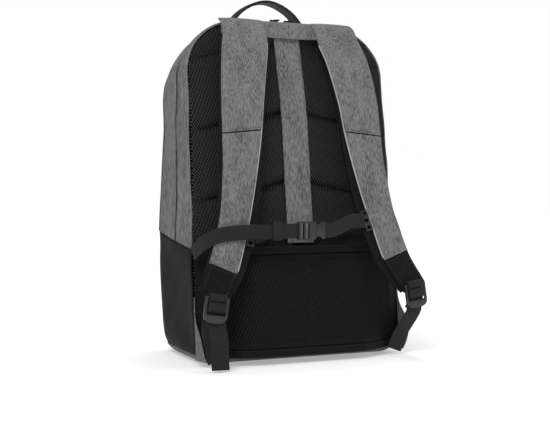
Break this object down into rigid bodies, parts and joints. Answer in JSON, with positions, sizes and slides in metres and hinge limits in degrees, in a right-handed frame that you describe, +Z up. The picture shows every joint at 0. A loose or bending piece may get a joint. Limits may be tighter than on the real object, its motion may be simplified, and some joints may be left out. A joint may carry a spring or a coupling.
{
  "type": "laptop backpack",
  "caption": "Upright laptop backpack with padded mesh back, luggage sleeve, shoulder straps, sternum strap and top handle.",
  "frame": {"origin": "middle of the base's flat underside, below the middle of the base depth", "axes": "+Z up, -Y towards the wearer's back (the harness side), +X to the right seen from the harness side"},
  "size_m": [0.339, 0.2522, 0.5178],
  "materials": {
    "heather_cloth": "matte grey heather weave",
    "black_cloth": "smooth black coated cloth",
    "mesh_cloth": "black air mesh, open weave",
    "zipper_tape": "black zipper, satin",
    "webbing": "black ribbed webbing",
    "moulded_plastic": "satin",
    "slider_metal": "black satin"
  },
  "bodies": {
    "root": {"rear_gusset": "heather_cloth", "main_gusset": "heather_cloth", "front_panel": "heather_cloth", "base_panel": "heather_cloth", "centre_strip": "heather_cloth", "yoke": "heather_cloth", "strap_upper_left": "heather_cloth", "strap_upper_right": "heather_cloth", "strap_lower_left": "heather_cloth", "strap_lower_right": "heather_cloth", "anchor_tab_left": "heather_cloth", "anchor_tab_right": "heather_cloth", "lower_shell": "black_cloth", "sleeve_hem_top": "black_cloth", "sleeve_hem_foot": "black_cloth", "strap_tip_left": "black_cloth", "strap_tip_right": "black_cloth", "strap_pad_left": "black_cloth", "strap_pad_right": "black_cloth", "back_panel": "mesh_cloth", "sleeve_panel": "mesh_cloth", "laptop_zipper": "zipper_tape", "main_zipper": "zipper_tape", "top_handle": "webbing", "lower_webbing_left": "webbing", "lower_webbing_right": "webbing", "lock_loop_left": "webbing", "lock_loop_right": "webbing", "sternum_webbing_left": "webbing", "sternum_webbing_right": "webbing", "sternum_tail": "webbing", "webbing_keeper": "webbing", "laptop_pull_left": "webbing", "laptop_pull_right": "webbing", "main_pull_left": "webbing", "main_pull_right": "webbing", "ladder_lock_left": "moulded_plastic", "ladder_lock_right": "moulded_plastic", "sternum_socket": "moulded_plastic", "sternum_plug": "moulded_plastic", "slide_clip_left": "moulded_plastic", "slide_clip_right": "moulded_plastic", "laptop_slider_left": "slider_metal", "laptop_slider_right": "slider_metal", "main_slider_left": "slider_metal", "main_slider_right": "slider_metal"}
  },
  "joints": []
}
